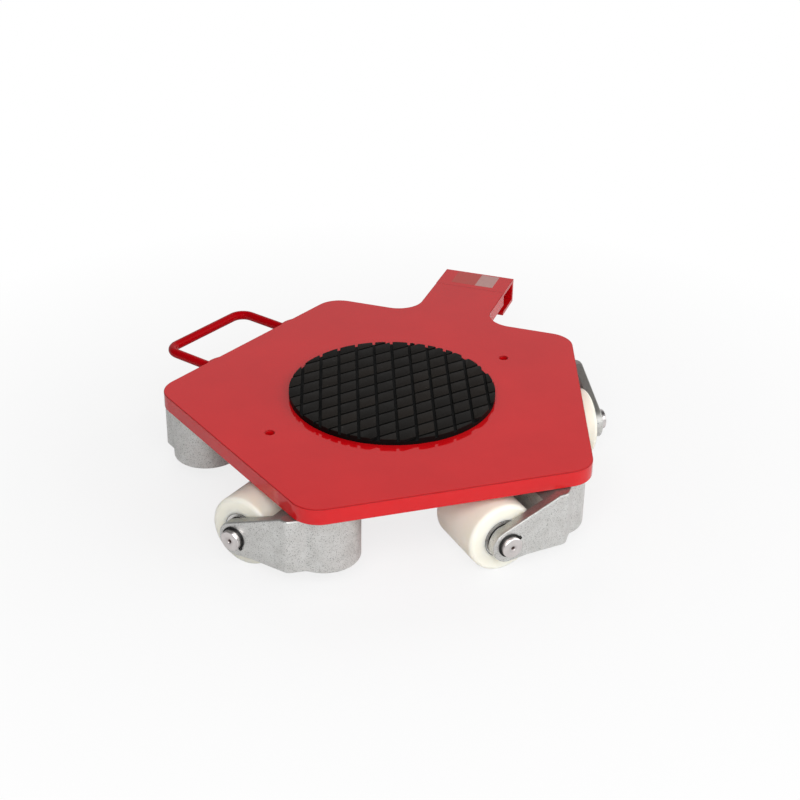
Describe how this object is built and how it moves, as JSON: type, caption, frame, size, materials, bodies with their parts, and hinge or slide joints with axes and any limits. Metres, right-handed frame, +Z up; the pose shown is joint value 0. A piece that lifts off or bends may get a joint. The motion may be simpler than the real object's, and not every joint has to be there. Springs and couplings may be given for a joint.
{
  "type": "machine skate",
  "caption": "Low machine skate: a red pentagonal steel deck on swivel castors with cast forks and pale rollers, a treaded rubber load pad, a side handle and a coupling tongue.",
  "frame": {"origin": "middle of the load pad's top face", "axes": "+Z up, +Y along the tongue away from the deck, +X to the right of the tongue"},
  "size_m": [0.5942, 0.6741, 0.12],
  "materials": {
    "red_paint": "gloss powder coat",
    "pad_rubber": "matt",
    "roller_plastic": "turned cast nylon",
    "cast_fork": "cast, zinc plated",
    "turned_steel": "turned",
    "bearing_steel": "ground",
    "black_steel": "black oxide",
    "bush_bronze": "machined"
  },
  "bodies": {
    "deck": {"deck_plate": "red_paint", "coupling_channel": "red_paint", "coupling_weld": "red_paint", "load_pad": "pad_rubber", "handle": "red_paint", "handle_welds": "red_paint", "swivel_pin_front_right": "turned_steel", "swivel_pin_front_left": "turned_steel", "swivel_pin_left": "turned_steel", "swivel_pin_rear": "turned_steel", "swivel_pin_right": "turned_steel", "thrust_top_races": "bearing_steel", "pin_washers": "turned_steel", "pin_nuts": "turned_steel"},
    "castor_front_right": {"fork_front_right": "cast_fork", "thrust_bearing_front_right": "bearing_steel", "swivel_bush_front_right": "bush_bronze", "axle_front_right": "turned_steel", "axle_circlips_front_right": "black_steel", "bearing_inners_front_right": "bearing_steel", "axle_spacers_front_right": "turned_steel"},
    "wheel_front_right": {"roller_front_right": "roller_plastic", "bearing_outers_front_right": "bearing_steel"},
    "castor_front_left": {"fork_front_left": "cast_fork", "thrust_bearing_front_left": "bearing_steel", "swivel_bush_front_left": "bush_bronze", "axle_front_left": "turned_steel", "axle_circlips_front_left": "black_steel", "bearing_inners_front_left": "bearing_steel", "axle_spacers_front_left": "turned_steel"},
    "wheel_front_left": {"roller_front_left": "roller_plastic", "bearing_outers_front_left": "bearing_steel"},
    "castor_left": {"fork_left": "cast_fork", "thrust_bearing_left": "bearing_steel", "swivel_bush_left": "bush_bronze", "axle_left": "turned_steel", "axle_circlips_left": "black_steel", "bearing_inners_left": "bearing_steel", "axle_spacers_left": "turned_steel"},
    "wheel_left": {"roller_left": "roller_plastic", "bearing_outers_left": "bearing_steel"},
    "castor_rear": {"fork_rear": "cast_fork", "thrust_bearing_rear": "bearing_steel", "swivel_bush_rear": "bush_bronze", "axle_rear": "turned_steel", "axle_circlips_rear": "black_steel", "bearing_inners_rear": "bearing_steel", "axle_spacers_rear": "turned_steel"},
    "wheel_rear": {"roller_rear": "roller_plastic", "bearing_outers_rear": "bearing_steel"},
    "castor_right": {"fork_right": "cast_fork", "thrust_bearing_right": "bearing_steel", "swivel_bush_right": "bush_bronze", "axle_right": "turned_steel", "axle_circlips_right": "black_steel", "bearing_inners_right": "bearing_steel", "axle_spacers_right": "turned_steel"},
    "wheel_right": {"roller_right": "roller_plastic", "bearing_outers_right": "bearing_steel"}
  },
  "joints": [
    {"name": "swivel_front_right", "type": "hinge", "parent": "deck", "child": "castor_front_right", "pos_m": [0.13637, 0.18769, -0.0775], "axis": [0, 0, 1], "continuous": true},
    {"name": "roll_front_right", "type": "hinge", "parent": "castor_front_right", "child": "wheel_front_right", "pos_m": [0.18328, 0.11681, -0.0775], "axis": [0.8339, 0.5519, 0], "continuous": true},
    {"name": "swivel_front_left", "type": "hinge", "parent": "deck", "child": "castor_front_left", "pos_m": [-0.13637, 0.18769, -0.0775], "axis": [0, 0, 1], "continuous": true},
    {"name": "roll_front_left", "type": "hinge", "parent": "castor_front_left", "child": "wheel_front_left", "pos_m": [-0.0732, 0.13082, -0.0775], "axis": [0.6691, 0.7431, 0], "continuous": true},
    {"name": "swivel_left", "type": "hinge", "parent": "deck", "child": "castor_left", "pos_m": [-0.22065, -0.07169, -0.0775], "axis": [0, 0, 1], "continuous": true},
    {"name": "roll_left", "type": "hinge", "parent": "castor_left", "child": "wheel_left", "pos_m": [-0.231, 0.01267, -0.0775], "axis": [-0.9925, -0.1219, 0], "continuous": true},
    {"name": "swivel_rear", "type": "hinge", "parent": "deck", "child": "castor_rear", "pos_m": [0, -0.232, -0.0775], "axis": [0, 0, 1], "continuous": true},
    {"name": "roll_rear", "type": "hinge", "parent": "castor_rear", "child": "wheel_rear", "pos_m": [-0.08248, -0.21144, -0.0775], "axis": [-0.2419, -0.9703, 0], "continuous": true},
    {"name": "swivel_right", "type": "hinge", "parent": "deck", "child": "castor_right", "pos_m": [0.22065, -0.07169, -0.0775], "axis": [0, 0, 1], "continuous": true},
    {"name": "roll_right", "type": "hinge", "parent": "castor_right", "child": "wheel_right", "pos_m": [0.16096, -0.13221, -0.0775], "axis": [0.712, -0.7022, 0], "continuous": true}
  ]
}
